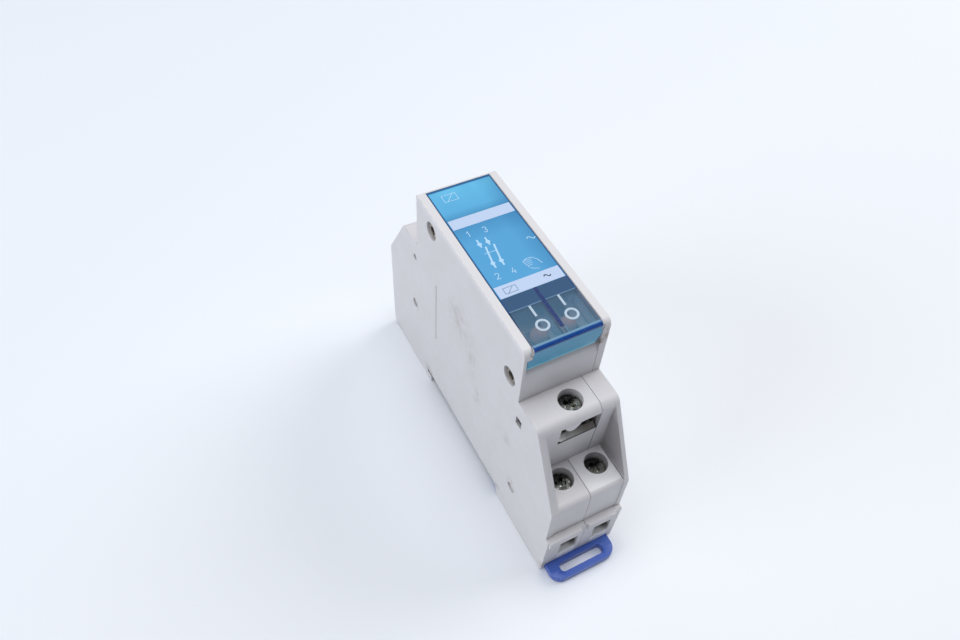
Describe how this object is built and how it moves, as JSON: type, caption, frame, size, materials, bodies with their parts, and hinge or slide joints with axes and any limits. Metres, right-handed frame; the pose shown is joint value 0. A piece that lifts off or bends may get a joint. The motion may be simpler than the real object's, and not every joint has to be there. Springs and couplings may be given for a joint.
{
  "type": "installation relay for hat rail",
  "caption": "Slim rail-mounted switching relay: grey split housing with stepped terminal ends, tinted blue front window over position levers, and a blue sprung rail clip.",
  "frame": {"origin": "centre of the rail seat: middle of the 35 mm rail on the plane of its front face", "axes": "+X right along the rail, +Y up on the wall, +Z out of the panel to the front"},
  "size_m": [0.018, 0.0823, 0.058],
  "materials": {
    "housing_grey": "fine satin moulding, light grey",
    "tray_grey": "matt moulding, mid grey",
    "rivet_steel": "dull plated steel",
    "window_blue": "clear tinted polycarbonate, blue",
    "label": "printed card",
    "clip_blue": "satin moulding, blue",
    "spring_steel": "bright drawn wire",
    "lever_grey": "matt moulding, warm grey",
    "carrier_white": "matt moulding, off white",
    "magnet_steel": "zinc-plated soft iron",
    "bobbin_white": "glass-filled nylon, off white",
    "copper_wire": "enamelled copper wire",
    "contact_silver": "silver alloy",
    "strip_copper": "half-hard copper strip",
    "screw_nickel": "nickel-plated steel",
    "clamp_nickel": "nickel-plated steel"
  },
  "bodies": {
    "housing": {"housing_left": "housing_grey", "housing_right": "housing_grey", "front_tray": "tray_grey", "housing_rivets": "rivet_steel", "label_card": "label", "clip_spring": "spring_steel", "return_spring": "spring_steel", "magnet_yoke": "magnet_steel", "fixed_core": "magnet_steel", "coil_bobbin": "bobbin_white", "coil_winding": "copper_wire", "fixed_tips": "contact_silver", "load_busbar_bottom_left": "strip_copper", "load_busbar_top_left": "strip_copper", "load_busbar_bottom_right": "strip_copper", "load_busbar_top_right": "strip_copper", "coil_busbar_bottom": "strip_copper", "coil_busbar_top": "strip_copper"},
    "window": {"window_cover": "window_blue"},
    "rail_clip": {"rail_clip": "clip_blue"},
    "carrier": {"contact_carrier": "carrier_white", "armature": "magnet_steel", "contact_bridge_left": "strip_copper", "contact_bridge_right": "strip_copper", "contact_spring_left": "spring_steel", "contact_spring_right": "spring_steel", "moving_tips_left": "contact_silver", "moving_tips_right": "contact_silver"},
    "lever_left": {"lever_left": "lever_grey"},
    "lever_right": {"lever_right": "lever_grey"},
    "load_screw_bottom_left": {"load_screw_bottom_left": "screw_nickel"},
    "lift_cage_bottom_left": {"lift_cage_bottom_left": "clamp_nickel"},
    "load_screw_top_left": {"load_screw_top_left": "screw_nickel"},
    "lift_cage_top_left": {"lift_cage_top_left": "clamp_nickel"},
    "load_screw_bottom_right": {"load_screw_bottom_right": "screw_nickel"},
    "lift_cage_bottom_right": {"lift_cage_bottom_right": "clamp_nickel"},
    "load_screw_top_right": {"load_screw_top_right": "screw_nickel"},
    "lift_cage_top_right": {"lift_cage_top_right": "clamp_nickel"},
    "clamp_plate_bottom": {"clamp_plate_bottom": "clamp_nickel"},
    "coil_screw_bottom": {"coil_screw_bottom": "screw_nickel"},
    "clamp_plate_top": {"clamp_plate_top": "clamp_nickel"},
    "coil_screw_top": {"coil_screw_top": "screw_nickel"}
  },
  "joints": [
    {"name": "window_slide", "type": "slide", "parent": "housing", "child": "window", "axis": [0, -1, 0], "range_m": [0, 0.044]},
    {"name": "clip_slide", "type": "slide", "parent": "housing", "child": "rail_clip", "axis": [0, -1, 0], "range_m": [0, 0.004], "stiffness_N_per_m": 600, "springref_m": -0.003, "deforming": ["clip_spring"]},
    {"name": "carrier_slide", "type": "slide", "parent": "housing", "child": "carrier", "axis": [0, 0, -1], "range_m": [0, 0.003], "stiffness_N_per_m": 250, "springref_m": -0.003, "deforming": ["return_spring"]},
    {"name": "lever_left_turn", "type": "hinge", "parent": "housing", "child": "lever_left", "pos_m": [-0.0028, -0.0185, 0.0433], "axis": [-1, 0, 0], "range_deg": [0, 28.5]},
    {"name": "lever_right_turn", "type": "hinge", "parent": "housing", "child": "lever_right", "pos_m": [0.0034, -0.0185, 0.0433], "axis": [-1, 0, 0], "range_deg": [0, 28.5]},
    {"name": "load_screw_bottom_left_turn", "type": "hinge", "parent": "housing", "child": "load_screw_bottom_left", "pos_m": [-0.0032, -0.0328, 0.0189], "axis": [0, 0, -1], "range_deg": [0, 2165]},
    {"name": "lift_cage_bottom_left_rise", "type": "slide", "parent": "housing", "child": "lift_cage_bottom_left", "axis": [0, 0, 1], "range_m": [0, 0.0036]},
    {"name": "load_screw_top_left_turn", "type": "hinge", "parent": "housing", "child": "load_screw_top_left", "pos_m": [-0.0032, 0.0328, 0.0189], "axis": [0, 0, -1], "range_deg": [0, 2165]},
    {"name": "lift_cage_top_left_rise", "type": "slide", "parent": "housing", "child": "lift_cage_top_left", "axis": [0, 0, 1], "range_m": [0, 0.0036]},
    {"name": "load_screw_bottom_right_turn", "type": "hinge", "parent": "housing", "child": "load_screw_bottom_right", "pos_m": [0.0049, -0.0328, 0.0189], "axis": [0, 0, -1], "range_deg": [0, 2165]},
    {"name": "lift_cage_bottom_right_rise", "type": "slide", "parent": "housing", "child": "lift_cage_bottom_right", "axis": [0, 0, 1], "range_m": [0, 0.0036]},
    {"name": "load_screw_top_right_turn", "type": "hinge", "parent": "housing", "child": "load_screw_top_right", "pos_m": [0.0049, 0.0328, 0.0189], "axis": [0, 0, -1], "range_deg": [0, 2165]},
    {"name": "lift_cage_top_right_rise", "type": "slide", "parent": "housing", "child": "lift_cage_top_right", "axis": [0, 0, 1], "range_m": [0, 0.0036]},
    {"name": "clamp_plate_bottom_press", "type": "slide", "parent": "housing", "child": "clamp_plate_bottom", "axis": [0, 0, -1], "range_m": [0, 0.0024]},
    {"name": "coil_screw_bottom_turn", "type": "hinge", "parent": "clamp_plate_bottom", "child": "coil_screw_bottom", "pos_m": [0.0002, -0.0262, 0.0372], "axis": [0, 0, -1], "range_deg": [0, 1445]},
    {"name": "clamp_plate_top_press", "type": "slide", "parent": "housing", "child": "clamp_plate_top", "axis": [0, 0, -1], "range_m": [0, 0.0024]},
    {"name": "coil_screw_top_turn", "type": "hinge", "parent": "clamp_plate_top", "child": "coil_screw_top", "pos_m": [0.0002, 0.0262, 0.0372], "axis": [0, 0, -1], "range_deg": [0, 1445]}
  ],
  "couplings": [
    {"joint": "lever_left_turn", "follows": "carrier_slide", "rad_per_m": 165.22},
    {"joint": "lever_right_turn", "follows": "carrier_slide", "rad_per_m": 165.22},
    {"joint": "load_screw_bottom_left_turn", "follows": "lift_cage_bottom_left_rise", "rad_per_m": 10472},
    {"joint": "load_screw_top_left_turn", "follows": "lift_cage_top_left_rise", "rad_per_m": 10472},
    {"joint": "load_screw_bottom_right_turn", "follows": "lift_cage_bottom_right_rise", "rad_per_m": 10472},
    {"joint": "load_screw_top_right_turn", "follows": "lift_cage_top_right_rise", "rad_per_m": 10472},
    {"joint": "coil_screw_bottom_turn", "follows": "clamp_plate_bottom_press", "rad_per_m": 10472},
    {"joint": "coil_screw_top_turn", "follows": "clamp_plate_top_press", "rad_per_m": 10472}
  ]
}
